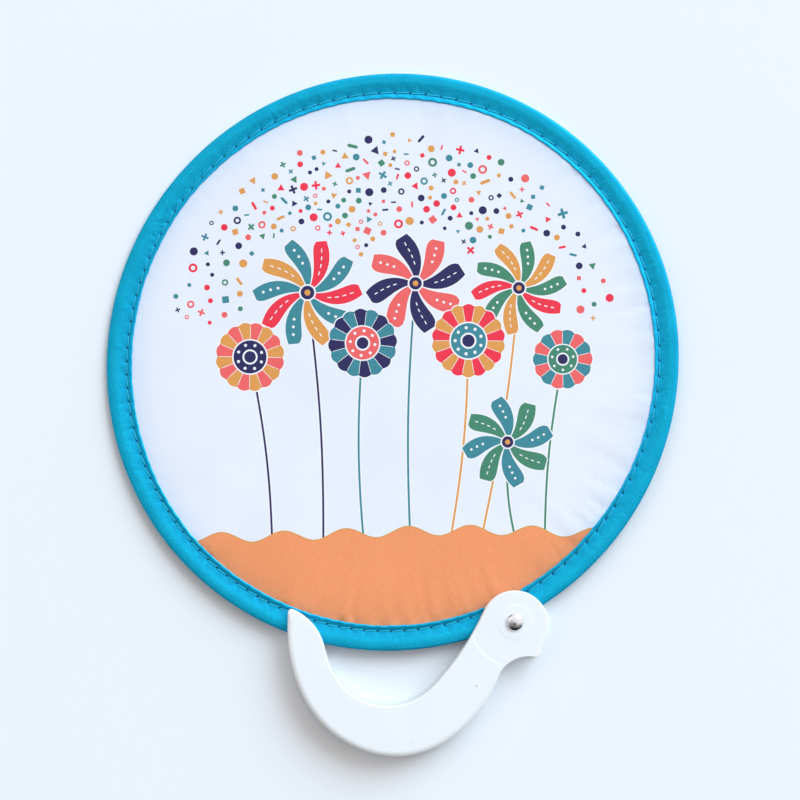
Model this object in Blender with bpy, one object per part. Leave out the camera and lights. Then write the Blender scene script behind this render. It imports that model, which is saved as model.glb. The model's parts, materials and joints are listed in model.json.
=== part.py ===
"""A round pop-up hand fan with a crescent handle, lying open on a table.

A sprung steel hoop stretches a cloth disc. A folded tape binds the cloth's edge round the hoop and is
stitched through. The hoop's ends sit in a small hub, and a rivet through the hub carries the handle:
two moulded cheeks with a spine between them along the outer edge only, so that the rim can pass
between the cheeks while the handle swings round the rivet, and the coiled hoop can lie there when
the fan is twisted up.

The fan's own plane has its origin at the disc's centre, +X right, +Y up and +Z out of the printed
face. The whole fan lies on the handle's rear cheek and the far side of the rim, so that plane leans
a little, and the slack left side of the hoop hangs down from it almost to the table. The model's
origin is the middle of its footprint, on the table.
"""

import math

import bmesh
import bpy
from mathutils import Matrix, Vector

MM = 0.001

# Clearance between two pieces that lie against each other
FIT = 0.3 * MM

# Hoop
HOOP_OUTSIDE = 250 * MM
OUT_OF_ROUND = 1.25 * MM
LONG_WAY = math.radians(58)
WIRE_DIAMETER = 1.6 * MM
DROOP = 1.9 * MM
DROOP_DIRECTION = math.radians(185)
DROOP_SPAN = math.radians(85)
HOOP_STEPS = 72

# Cloth and binding tape
CLOTH_THICKNESS = 0.25 * MM
CLOTH_RINGS = (0.03, 0.5, 0.8, 1.0)
TAPE_THICKNESS = 0.3 * MM
TAPE_WIDTH = 10.7 * MM
TAPE_SLOPE = 2.4 * MM

# Stitches
STITCH_PITCH = 6.55 * MM
STITCH_INSET = 2.2 * MM
STITCH_ARCH = 0.2 * MM
THREAD_DIAMETER = 0.3 * MM

# Hub and rivet
HUB_DIRECTION = math.radians(-64.9)
PIVOT_OUTSET = 1.3 * MM
HUB_RADIUS = 11.5 * MM
WIRE_END = 4.5 * MM
RIVET_DIAMETER = 4 * MM
HEAD_DIAMETER = 7.5 * MM
HEAD_HEIGHT = 1.4 * MM
TAIL_DIAMETER = 6 * MM
TAIL_HEIGHT = 0.6 * MM
WASHER_DIAMETER = 7.6 * MM
WASHER_THICKNESS = 0.6 * MM
ROUND_STEPS = 40

# Handle, with its outline in arcs from the disc's left side: neck, inner edge, tip, outer edge, heel
HANDLE_THICKNESS = 12 * MM
CHEEK = 2.2 * MM
SPINE = 2 * MM
EDGE_FILLET = 1.5 * MM
PARTING_LIP = 0.9 * MM
DISC_RADIUS = 14.6 * MM
DISC_DROP = 1.05 * MM
DISC_LEFT = math.radians(155.4)
DISC_RIGHT = math.radians(-19.7)
NECK = ((119.7 * MM, -19.1),)
INNER_EDGE = ((26.8 * MM, -72.4), (23.7 * MM, -28.7), (38.5 * MM, -23.5), (23.4 * MM, 55.4))
TIP = ((1.6 * MM, 111.4),)
TIP_STRAIGHT = 4.6 * MM
OUTER_EDGE = (
    (67.5 * MM, 27.1),
    (46.9 * MM, 47.7),
    (39.2 * MM, 48.3),
    (59.8 * MM, 33.4),
    (4.1 * MM, 11),
)
NOTCH = ((14 * MM, -87.2),)
BEAK = ((1.9 * MM, 81.3),)
ARC_STEP = 7.5
FILLET_STEPS = 3

# Handle details
SWING = math.radians(118)
RIM_CLEARANCE = 0.4 * MM
BOSS_RADIUS = 7.3 * MM
BOSS_INSIDE = 1 * MM
RECESS_RADIUS = 19.2 * MM
RECESS_DEPTH = 0.3 * MM
PEG_DIAMETER = 1.6 * MM
PEG_LENGTH = 2 * MM
PEG_BOSS_DIAMETER = 4.4 * MM
PEG_INSET = 2.4 * MM
PEG_PLACES = (0.22, 0.5, 0.78)
PEG_STEPS = 12

WIRE_RADIUS = WIRE_DIAMETER / 2
HOOP_RADIUS = HOOP_OUTSIDE / 2 - TAPE_THICKNESS - FIT - WIRE_RADIUS
TAPE_OUTSET = WIRE_RADIUS + FIT + TAPE_THICKNESS
TAPE_INSET = TAPE_OUTSET - TAPE_WIDTH
TAPE_INSIDE = CLOTH_THICKNESS / 2 + FIT
TAPE_OUTSIDE = TAPE_INSIDE + TAPE_THICKNESS
SLOT = HANDLE_THICKNESS - 2 * CHEEK
HALF_SEAM = FIT / 2
HUB_HALF = SLOT / 2 - BOSS_INSIDE - FIT
BORE_RADIUS = RIVET_DIAMETER / 2 + FIT
FACE = HANDLE_THICKNESS / 2
TAIL_RECESS = 3 * FIT + WASHER_THICKNESS + TAIL_HEIGHT


def hoop_radius(angle):
    return HOOP_RADIUS + OUT_OF_ROUND * math.cos(2 * (angle - LONG_WAY))


def settled(x, y, height=0.0):
    """A point of the fan at this height, lowered with the slack side of the hoop."""
    aside = (math.atan2(y, x) - DROOP_DIRECTION + math.pi) % (2 * math.pi) - math.pi
    if abs(aside) < DROOP_SPAN:
        swell = math.cos(math.pi / 2 * aside / DROOP_SPAN) ** 2
        height -= DROOP * swell * (x * x + y * y) / HOOP_RADIUS**2
    return Vector((x, y, height))


def on_hoop(angle, outset=0.0, height=0.0):
    """A point at this angle round the disc, this far outside the wire's centre line."""
    reach = hoop_radius(angle) + outset
    return settled(reach * math.cos(angle), reach * math.sin(angle), height)


PIVOT = on_hoop(HUB_DIRECTION, PIVOT_OUTSET)


def clear_scene():
    for thing in list(bpy.data.objects):
        bpy.data.objects.remove(thing, do_unlink=True)


def material(name, colour, roughness, metallic=0.0):
    made = bpy.data.materials.new(name)
    made.use_nodes = True
    shader = made.node_tree.nodes["Principled BSDF"]
    shader.inputs["Base Color"].default_value = (*colour, 1)
    shader.inputs["Roughness"].default_value = roughness
    shader.inputs["Metallic"].default_value = metallic
    return made


def empty(name, parent=None, location=(0, 0, 0)):
    made = bpy.data.objects.new(name, None)
    bpy.context.collection.objects.link(made)
    made.parent = parent
    made.location = location
    return made


def piece(name, shape, parent, look=None):
    """An object of this bmesh, with its faces pointing out. Without a look it is a cutter."""
    bmesh.ops.recalc_face_normals(shape, faces=shape.faces)
    mesh = bpy.data.meshes.new(name)
    shape.to_mesh(mesh)
    shape.free()
    made = bpy.data.objects.new(name, mesh)
    bpy.context.collection.objects.link(made)
    made.parent = parent
    if look is None:
        made.hide_render = True
        made.display_type = "WIRE"
    else:
        mesh.materials.append(look)
        mesh.shade_smooth()
        mesh.set_sharp_from_angle(angle=math.radians(35))
    return made


def combine(target, name, shape, operation="DIFFERENCE"):
    """Cuts this bmesh from the target, or joins it on."""
    tool = piece(f"{target.name}_{name}", shape, target.parent)
    step = target.modifiers.new(name, "BOOLEAN")
    step.operation = operation
    step.solver = "EXACT"
    step.object = tool


def loft(rings, closed=False):
    """A solid through rings of points, capped at both ends unless it closes on itself."""
    shape = bmesh.new()
    rows = [[shape.verts.new(point) for point in ring] for ring in rings]
    pairs = list(zip(rows, rows[1:]))
    if closed:
        pairs.append((rows[-1], rows[0]))
    else:
        shape.faces.new(rows[0])
        shape.faces.new(rows[-1])
    for low, high in pairs:
        for i in range(len(low)):
            j = (i + 1) % len(low)
            shape.faces.new((low[i], low[j], high[j], high[i]))
    return shape


def circle(radius, height, steps=ROUND_STEPS, centre=(0.0, 0.0)):
    turns = [2 * math.pi * i / steps for i in range(steps)]
    return [
        Vector((centre[0] + radius * math.cos(turn), centre[1] + radius * math.sin(turn), height))
        for turn in turns
    ]


def cylinder(radius, low, high, steps=ROUND_STEPS, centre=(0.0, 0.0)):
    return loft([circle(radius, low, steps, centre), circle(radius, high, steps, centre)])


def turned(profile, steps=ROUND_STEPS):
    """A solid turned round Z from (radius, height) points, from its lower to its upper end."""
    return loft([circle(radius, height, steps) for radius, height in profile])


def annulus(inner, outer, low, high, steps=ROUND_STEPS):
    """A flat ring."""
    rows = zip(
        circle(inner, low, steps),
        circle(outer, low, steps),
        circle(outer, high, steps),
        circle(inner, high, steps),
    )
    return loft(list(rows), closed=True)


def along_hoop(section, angles, arch=0.0):
    """Sweeps a section of (outset, height) points along the hoop, raised by the arch at every second angle."""
    rings = []
    for index, angle in enumerate(angles):
        raised = arch * (index % 2)
        rings.append([on_hoop(angle, outset, height + raised) for outset, height in section])
    return loft(rings)


def hoop_angles(clear, steps=HOOP_STEPS):
    """Angles once round the hoop, leaving out this length on each side of the pivot."""
    skip = clear / HOOP_RADIUS
    span = 2 * math.pi - 2 * skip
    return [HUB_DIRECTION + skip + span * i / steps for i in range(steps + 1)]


def round_section(radius, sides, outset=0.0, height=0.0):
    turns = [2 * math.pi * (i + 0.5) / sides for i in range(sides)]
    return [(outset + radius * math.cos(turn), height + radius * math.sin(turn)) for turn in turns]


def tape_section():
    """The tape folded over the wire: its outside from the front hem to the rear one, then its inside."""

    def side(flat, bend):
        arc = [math.radians(turn) for turn in (100, 50, 0, -50, -100)]
        over = [(bend * math.cos(turn), bend * math.sin(turn)) for turn in arc]
        start = -WIRE_RADIUS - TAPE_SLOPE
        return [(TAPE_INSET, flat), (start, flat), *over, (start, -flat), (TAPE_INSET, -flat)]

    outside = side(TAPE_OUTSIDE, TAPE_OUTSET)
    inside = side(TAPE_INSIDE, TAPE_OUTSET - TAPE_THICKNESS)
    return outside + inside[::-1]


def add_arcs(path, arcs):
    """Goes on along tangent arcs, each a radius and a turn in degrees, positive to the left.

    A path holds (point, heading, bend), where bend is the arc's radius, or 0 where it bends right.
    """
    for radius, turn in arcs:
        point, heading, _ = path[-1]
        side = math.copysign(1, turn)
        count = max(2, math.ceil(abs(turn) / ARC_STEP))
        centre = point + side * radius * Vector((-math.sin(heading), math.cos(heading)))
        for i in range(1, count + 1):
            at = heading + math.radians(turn) * i / count
            reach = side * radius * Vector((math.sin(at), -math.cos(at)))
            path.append((centre + reach, at, radius if side > 0 else 0.0))


def disc_point(angle):
    """A point on the handle's round end, whose middle is a little below the rivet."""
    return Vector((DISC_RADIUS * math.cos(angle), DISC_RADIUS * math.sin(angle) - DISC_DROP))


def handle_outline():
    """The handle's outline round the pivot, inside on the left, and where its outer edge starts and ends."""
    path = [(disc_point(DISC_LEFT), DISC_LEFT + math.pi / 2, 0.0)]
    add_arcs(path, NECK + INNER_EDGE + TIP)
    outer_edge = [path.pop()]
    point, heading, _ = outer_edge[0]
    outer_edge.append((point + TIP_STRAIGHT * Vector((math.cos(heading), math.sin(heading))), heading, 0.0))
    add_arcs(outer_edge, OUTER_EDGE)
    start = len(path)
    path += outer_edge
    end = len(path) - 1
    add_arcs(path, NOTCH + BEAK)
    steps = math.ceil(math.degrees(DISC_LEFT - DISC_RIGHT) / ARC_STEP)
    for i in range(steps):
        angle = DISC_RIGHT + (DISC_LEFT - DISC_RIGHT) * i / steps
        path.append((disc_point(angle), angle + math.pi / 2, DISC_RADIUS))
    return path, start, end


def inward(heading):
    return Vector((-math.sin(heading), math.cos(heading)))


def fillet_widths(path):
    """How far the edge fillet reaches in at each point: less round a corner too tight for all of it."""
    count = len(path)
    limits = [min(EDGE_FILLET, 0.8 * bend) if bend else EDGE_FILLET for _, _, bend in path]
    widths = []
    for i in range(count):
        near = [
            limits[(i + k) % count] + 0.5 * (path[(i + k) % count][0] - path[i][0]).length
            for k in range(-6, 7)
        ]
        widths.append(min(near))
    return widths


def lip_widths(path, start, end):
    """How far the rear cheek stands out past the front one, along the outer edge only."""
    widths = [0.0] * len(path)
    for i in range(start, end + 1):
        share = (i - start) / (end - start)
        widths[i] = PARTING_LIP * min(1.0, 4 * share, 4 * (1 - share))
    return widths


def shell_block(side, lip):
    """One half of the handle before it is hollowed, from the parting line to its filleted face."""
    path, start, end = handle_outline()
    fillets = fillet_widths(path)
    lips = lip_widths(path, start, end) if lip else [0.0] * len(path)

    def ring(height, share):
        return [
            (point + inward(heading) * (share * fillet - out)).to_3d() + Vector((0, 0, side * height))
            for (point, heading, _), fillet, out in zip(path, fillets, lips)
        ]

    rings = [ring(HALF_SEAM, 0.0)]
    for i in range(FILLET_STEPS + 1):
        turn = math.pi / 2 * i / FILLET_STEPS
        rings.append(ring(FACE - EDGE_FILLET * (1 - math.sin(turn)), 1 - math.cos(turn)))
    return loft(rings)


def prism(points, low, high):
    return loft([[Vector((x, y, low)) for x, y in points], [Vector((x, y, high)) for x, y in points]])


def pocket_outline():
    """The slot between the cheeks: the spine's inner side, closed far outside the open edges."""
    path, start, end = handle_outline()
    line = [point + inward(heading) * SPINE for point, heading, _ in path[start : end + 8]]
    beyond = 2 * RECESS_RADIUS
    right = line[-1].x + beyond
    left = line[0].x - beyond
    top = line[0].y + beyond
    return line + [Vector((right, line[-1].y)), Vector((right, top)), Vector((left, top)), Vector((left, line[0].y))]


def rim_outline(swing):
    """The rim with its clearance, as the handle sees it after swinging this far."""
    points = []
    for i in range(2 * HOOP_STEPS):
        angle = 2 * math.pi * i / (2 * HOOP_STEPS)
        from_pivot = (on_hoop(angle, TAPE_OUTSET + RIM_CLEARANCE) - PIVOT).to_2d()
        points.append(Matrix.Rotation(-swing, 2) @ from_pivot)
    return points


def peg_centres():
    """Pegs along the spine, at shares of the outer edge."""
    path, start, end = handle_outline()
    centres = []
    for share in PEG_PLACES:
        point, heading, _ = path[start + round(share * (end - start))]
        centres.append(point + inward(heading) * PEG_INSET)
    return centres


def handle_shell(name, side, parent, look, lip):
    """A cheek with its half of the spine. The side is 1 at the front and -1 at the rear."""

    def span(first, last):
        return sorted((side * first, side * last))

    shell = piece(name, shell_block(side, lip), parent, look)
    inside = SLOT / 2
    combine(shell, "pocket", prism(pocket_outline(), -inside, inside))
    for stop, swing in (("closed", 0.0), ("open", SWING)):
        combine(shell, f"{stop}_rim", prism(rim_outline(swing), -inside, inside))
    combine(shell, "hub_boss", cylinder(BOSS_RADIUS, *span(inside - BOSS_INSIDE, inside + CHEEK / 4)), "UNION")
    for i, centre in enumerate(peg_centres()):
        boss = cylinder(PEG_BOSS_DIAMETER / 2, *span(HALF_SEAM, inside + CHEEK / 4), 2 * PEG_STEPS, centre)
        combine(shell, f"peg_boss_{i}", boss, "UNION")
        if side > 0:
            peg = cylinder(PEG_DIAMETER / 2, -PEG_LENGTH, CHEEK, PEG_STEPS, centre)
            combine(shell, f"peg_{i}", peg, "UNION")
        else:
            hole = cylinder(PEG_DIAMETER / 2 + FIT, -PEG_LENGTH - FIT, CHEEK, PEG_STEPS, centre)
            combine(shell, f"peg_hole_{i}", hole)
    combine(shell, "bore", cylinder(BORE_RADIUS, -HANDLE_THICKNESS, HANDLE_THICKNESS))
    return shell


def wire_socket():
    """The groove in the hub that holds the wire's ends."""
    reach = 1.3 * HUB_RADIUS / HOOP_RADIUS
    angles = [HUB_DIRECTION + reach * (i / 4 - 1) for i in range(9)]
    return along_hoop(round_section(WIRE_RADIUS + FIT, 12), angles)


def hub_half(name, side, parent, look):
    low, high = sorted((side * HALF_SEAM, side * HUB_HALF))
    hub = piece(name, cylinder(HUB_RADIUS, low, high, centre=PIVOT.xy), parent, look)
    combine(hub, "socket", wire_socket())
    combine(hub, "bore", cylinder(BORE_RADIUS, -HANDLE_THICKNESS, HANDLE_THICKNESS, centre=PIVOT.xy))
    return hub


def cloth_disc():
    """The cloth in rings, over its back and then its front, so that it follows the hoop."""
    edge = -WIRE_RADIUS - 2 * FIT
    rim = [on_hoop(2 * math.pi * i / HOOP_STEPS, edge).xy for i in range(HOOP_STEPS)]
    back = [(share, -CLOTH_THICKNESS / 2) for share in CLOTH_RINGS]
    front = [(share, CLOTH_THICKNESS / 2) for share in reversed(CLOTH_RINGS)]
    return loft([[settled(*(share * point), height) for point in rim] for share, height in back + front])


def fan_pieces(plane):
    steel = material("spring_steel", (0.55, 0.56, 0.58), 0.35, 1.0)
    cloth = material("cloth", (0.90, 0.91, 0.97), 0.8)
    tape = material("binding_tape", (0.01, 0.36, 0.53), 0.55)
    thread = material("thread", (0.05, 0.50, 0.66), 0.7)
    plastic = material("hub_plastic", (0.85, 0.87, 0.90), 0.45)

    piece("hoop_wire", along_hoop(round_section(WIRE_RADIUS, 8), hoop_angles(WIRE_END)), plane, steel)

    sheet = piece("fan_cloth", cloth_disc(), plane, cloth)
    combine(sheet, "hub_notch", cylinder(HUB_RADIUS + FIT, -CHEEK, CHEEK, centre=PIVOT.xy))

    binding = piece("edge_binding", along_hoop(tape_section(), hoop_angles(WIRE_END)), plane, tape)
    combine(binding, "hub_notch", cylinder(HUB_RADIUS + FIT, -FACE, FACE, centre=PIVOT.xy))

    ends = HUB_RADIUS
    count = round((2 * math.pi * HOOP_RADIUS - 2 * ends) / STITCH_PITCH)
    line = TAPE_INSET + STITCH_INSET
    seat = TAPE_OUTSIDE + FIT + THREAD_DIAMETER / 2
    for name, side in (("needle_thread", 1), ("bobbin_thread", -1)):
        section = round_section(THREAD_DIAMETER / 2, 3, line, side * seat)
        stitches = along_hoop(section, hoop_angles(ends, 2 * count), side * STITCH_ARCH)
        piece(name, stitches, plane, thread)

    hub_half("hub_front_half", 1, plane, plastic)
    hub_half("hub_rear_half", -1, plane, plastic)


def handle_pieces(pivot):
    plastic = material("handle_plastic", (0.90, 0.92, 0.95), 0.35)
    steel = material("rivet_steel", (0.62, 0.61, 0.60), 0.25, 1.0)

    front = handle_shell("handle_front_shell", 1, pivot, plastic, lip=False)
    recess = annulus(BOSS_RADIUS, RECESS_RADIUS, FACE - RECESS_DEPTH, FACE + CHEEK, 2 * ROUND_STEPS)
    combine(front, "recess", recess)

    rear = handle_shell("handle_rear_shell", -1, pivot, plastic, lip=True)
    seat = cylinder(WASHER_DIAMETER / 2 + FIT, -FACE - CHEEK, -FACE + TAIL_RECESS)
    combine(rear, "washer_seat", seat)

    tail_low = -FACE + FIT
    head_low = FACE + FIT
    shank = RIVET_DIAMETER / 2
    dome = [math.radians(turn) for turn in (15, 35, 55, 75)]
    profile = [
        (TAIL_DIAMETER / 2, tail_low),
        (TAIL_DIAMETER / 2, tail_low + TAIL_HEIGHT),
        (shank, tail_low + TAIL_HEIGHT),
        (shank, head_low),
        (HEAD_DIAMETER / 2, head_low),
        *((HEAD_DIAMETER / 2 * math.cos(turn), head_low + HEAD_HEIGHT * math.sin(turn)) for turn in dome),
    ]
    piece("pivot_rivet", turned(profile), pivot, steel)

    washer_low = tail_low + TAIL_HEIGHT + FIT
    washer = annulus(shank + FIT, WASHER_DIAMETER / 2, washer_low, washer_low + WASHER_THICKNESS)
    piece("rivet_washer", washer, pivot, steel)


def lean():
    """The turn about X at which the rear cheek and the far side of the rim both touch the table."""
    far = hoop_radius(math.pi / 2) * Vector((0, 1, 0)) - Vector((0, 0, TAPE_OUTSET))
    near = Vector((0, PIVOT.y - DISC_DROP + DISC_RADIUS - EDGE_FILLET, -FACE))
    return -math.atan2(far.z - near.z, far.y - near.y)


def footprint():
    """The lowest and highest corners of the finished pieces."""
    bpy.context.view_layer.update()
    graph = bpy.context.evaluated_depsgraph_get()
    points = []
    for thing in bpy.data.objects:
        if thing.type == "MESH" and not thing.hide_render:
            done = thing.evaluated_get(graph)
            points += [done.matrix_world @ corner.co for corner in done.to_mesh().vertices]
            done.to_mesh_clear()
    low = Vector([min(point[k] for point in points) for k in range(3)])
    high = Vector([max(point[k] for point in points) for k in range(3)])
    return low, high


def main():
    clear_scene()
    plane = empty("fan_plane")
    plane.rotation_euler.x = lean()
    pivot = empty("handle_pivot", plane, PIVOT)
    fan_pieces(plane)
    handle_pieces(pivot)
    low, high = footprint()
    plane.location = (-(low.x + high.x) / 2, -(low.y + high.y) / 2, -low.z)
    bpy.context.view_layer.update()
    axis = pivot.matrix_world.to_3x3() @ Vector((0, 0, 1))
    print("pivot", [round(v, 6) for v in pivot.matrix_world.translation], "axis", [round(v, 6) for v in axis])
    print("fan centre", [round(v, 6) for v in plane.matrix_world.translation])
    print("size", [round(v, 6) for v in high - low])


main()
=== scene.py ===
"""Looks for a pop-up hand fan: printed cloth on a sprung hoop, stitched binding, moulded handle and rivet.

The fan's own plane has its origin at the disc's centre, +X right, +Y up and +Z out of the printed face.
Pieces of the handle are made round its pivot, in a plane parallel to that one.
"""

import json
import math
import random
from math import cos, pi, radians, sin, tau

import bmesh
import bpy
import numpy as np
from mathutils import Matrix, Vector, noise
from mathutils.geometry import delaunay_2d_cdt

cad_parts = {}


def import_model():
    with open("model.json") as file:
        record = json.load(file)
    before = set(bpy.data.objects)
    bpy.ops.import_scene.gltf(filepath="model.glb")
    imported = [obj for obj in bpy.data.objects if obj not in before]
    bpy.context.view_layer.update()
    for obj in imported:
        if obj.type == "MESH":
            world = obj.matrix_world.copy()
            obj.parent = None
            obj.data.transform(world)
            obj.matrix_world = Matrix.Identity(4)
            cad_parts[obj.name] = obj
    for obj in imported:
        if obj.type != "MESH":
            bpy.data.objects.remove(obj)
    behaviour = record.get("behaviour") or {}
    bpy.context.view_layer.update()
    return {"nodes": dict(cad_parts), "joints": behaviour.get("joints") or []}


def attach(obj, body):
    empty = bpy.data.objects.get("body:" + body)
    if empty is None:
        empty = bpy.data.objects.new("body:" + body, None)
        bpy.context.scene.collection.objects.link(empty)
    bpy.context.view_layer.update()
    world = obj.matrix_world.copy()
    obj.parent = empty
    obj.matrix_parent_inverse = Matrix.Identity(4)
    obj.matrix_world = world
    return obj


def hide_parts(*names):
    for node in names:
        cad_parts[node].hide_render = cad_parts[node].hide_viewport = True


MM = 0.001

# The frame's own measures
FIT = 0.3 * MM
HOOP_RADIUS = 123.6 * MM
OUT_OF_ROUND = 1.25 * MM
LONG_WAY = radians(58)
DROOP = 1.9 * MM
DROOP_DIRECTION = radians(185)
DROOP_SPAN = radians(85)
WIRE_RADIUS = 0.8 * MM
CLOTH_THICKNESS = 0.25 * MM
TAPE_OUTSET = 1.4 * MM
TAPE_INSET = -9.3 * MM
STITCH_PITCH = 6.55 * MM
STITCH_LINE = -7 * MM
# Where the stitches' painted shadow lies, measured in from the wire's centre line
SEAM_SHADOW_LINE = 7.4 * MM
RIB_PITCH = 0.85 * MM
RIB_SLANT = -28
WEAVE_PITCH = 0.5 * MM
HUB_DIRECTION = radians(-64.9)
PIVOT_OUTSET = 1.3 * MM
HUB_RADIUS = 11.5 * MM
RIVET_DIAMETER = 4 * MM
HEAD_DIAMETER = 7.5 * MM
HEAD_HEIGHT = 1.4 * MM
TAIL_DIAMETER = 6 * MM
TAIL_HEIGHT = 0.6 * MM
WASHER_DIAMETER = 7.6 * MM
WASHER_THICKNESS = 0.6 * MM
HANDLE_THICKNESS = 12 * MM
CHEEK = 2.2 * MM
SPINE = 2 * MM
PARTING_LIP = 0.9 * MM
DISC_RADIUS = 14.6 * MM
DISC_DROP = 1.05 * MM
DISC_LEFT = radians(155.4)
DISC_RIGHT = radians(-19.7)
NECK = ((119.7 * MM, -19.1),)
INNER_EDGE = ((26.8 * MM, -72.4), (23.7 * MM, -28.7), (38.5 * MM, -23.5), (23.4 * MM, 55.4))
TIP = ((1.6 * MM, 111.4),)
TIP_STRAIGHT = 4.6 * MM
OUTER_EDGE = (
    (67.5 * MM, 27.1), (46.9 * MM, 47.7), (39.2 * MM, 48.3), (59.8 * MM, 33.4), (4.1 * MM, 11),
)
NOTCH = ((14 * MM, -87.2),)
BEAK = ((1.9 * MM, 81.3),)
SWING = radians(118)
RIM_CLEARANCE = 0.4 * MM
BOSS_RADIUS = 7.3 * MM
BOSS_INSIDE = 1 * MM
RECESS_RADIUS = 19.2 * MM
RECESS_DEPTH = 0.08 * MM
RECESS_SOFTNESS = 0.45 * MM
PEG_BOSS_DIAMETER = 4.4 * MM
PEG_INSET = 2.4 * MM
PEG_PLACES = (0.22, 0.5, 0.78)

SLOT = HANDLE_THICKNESS - 2 * CHEEK
FACE = HANDLE_THICKNESS / 2
BORE_RADIUS = RIVET_DIAMETER / 2 + FIT
TAIL_RECESS = 3 * FIT + WASHER_THICKNESS + TAIL_HEIGHT

# Small marks on the handle's face: place from the pivot, radius and darkness
MARKS = (
    ((-16.6 * MM, -27.4 * MM, FACE), 0.5 * MM, 0.55),
    ((-44.7 * MM, -52 * MM, FACE), 1.6 * MM, 0.955),
)

# How finely the shown pieces are drawn
STEPS_PER_STITCH = 10
ARC_STEP = 2.5
FILLET_STEPS = 8
ROUND_STEPS = 96
OUTER_FILLET = 2.3 * MM
INNER_FILLET = 0.7 * MM
FILLET_HEIGHT = 1.5 * MM
CLOTH_GRID = 2.2 * MM
HEM_SPOTS = 540
RIM_SPOTS = 720
NOTCH_STEPS = 24

# Camera: straight above, with its picture's middle a little right of and below the disc's centre
CAMERA_POINT = (3.23 * MM, 6.2 * MM)
CAMERA_HEIGHT = 0.949
PICTURE_WIDTH = 0.3478
RIM_HEIGHT = 0.004
SENSOR = 36

# Key light: a disc, its place by angles in degrees and distance in metres
KEY_AZIMUTH = radians(50)
KEY_ELEVATION = radians(37)
KEY_DISTANCE = 9.0
KEY_SIZE = 6.6
KEY_POWER = 578
KEY_COLOUR = (0.8, 1.0, 1.16)

# Room light: the directions of the window's side and of the pale wall
ROOM_COLOUR = (1.1, 1.0, 0.955, 1)
WINDOW = (0.476, 0.762, 0.438)
WALL = (-0.86, 0.0, 0.5)
HALF_FLOOR = 6.0


def srgb(red, green, blue):
    """Linear colour from 0..255 display values."""

    def linear(value):
        share = value / 255
        return share / 12.92 if share <= 0.04045 else ((share + 0.055) / 1.055) ** 2.4

    return (linear(red), linear(green), linear(blue))


GROUND = srgb(236, 243, 254)
BRIGHT = srgb(246, 250, 255)
ORANGE = srgb(247, 157, 106)
AMBER = srgb(228, 160, 84)
TEAL = srgb(62, 140, 156)
GREEN = srgb(70, 139, 112)
CORAL = srgb(243, 104, 104)
RED = srgb(244, 54, 78)
NAVY = srgb(43, 40, 94)
THREAD = srgb(26, 190, 226)


def hoop_radius(angle):
    return HOOP_RADIUS + OUT_OF_ROUND * cos(2 * (angle - LONG_WAY))


def droop(x, y):
    """How far the slack side of the hoop and its cloth hang below the fan's plane."""
    aside = (np.arctan2(y, x) - DROOP_DIRECTION + pi) % tau - pi
    swell = np.cos(pi / 2 * np.clip(aside / DROOP_SPAN, -1, 1)) ** 2
    return DROOP * swell * (x * x + y * y) / HOOP_RADIUS**2


def on_hoop(angle, outset=0.0, height=0.0):
    """A point at this angle round the disc, this far outside the wire's centre line."""
    reach = hoop_radius(angle) + outset
    x, y = reach * cos(angle), reach * sin(angle)
    return Vector((x, y, height - float(droop(x, y))))


PIVOT = on_hoop(HUB_DIRECTION, PIVOT_OUTSET)


# Materials


class Nodes:
    """Adds nodes to a tree."""

    def __init__(self, tree):
        self.tree = tree

    def join(self, socket, value):
        if isinstance(value, bpy.types.NodeSocket):
            self.tree.links.new(value, socket)
        else:
            socket.default_value = value

    def add(self, kind, inputs, output=0, **settings):
        """A node with these settings and inputs, the inputs by name or by number."""
        node = self.tree.nodes.new(kind)
        for key, value in settings.items():
            setattr(node, key, value)
        for key, value in inputs.items():
            self.join(node.inputs[key], value)
        return node.outputs[output]

    def sum(self, operation, first, second=0.0):
        return self.add("ShaderNodeMath", {0: first, 1: second}, operation=operation)

    def times(self, first, second):
        return self.sum("MULTIPLY", first, second)

    def vector(self, operation, first, second, output=0):
        return self.add("ShaderNodeVectorMath", {0: first, 1: second}, output, operation=operation)

    def ranged(self, value, low, high, to_low=0.0, to_high=1.0):
        """The value's range from low to high, mapped smoothly to another."""
        inputs = {"Value": value, 1: low, 2: high, 3: to_low, 4: to_high}
        return self.add("ShaderNodeMapRange", inputs, interpolation_type="SMOOTHSTEP")

    def waver(self, value, low, high):
        """A noise's usual range, mapped to another."""
        return self.ranged(value, 0.3, 0.7, low, high)


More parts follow.
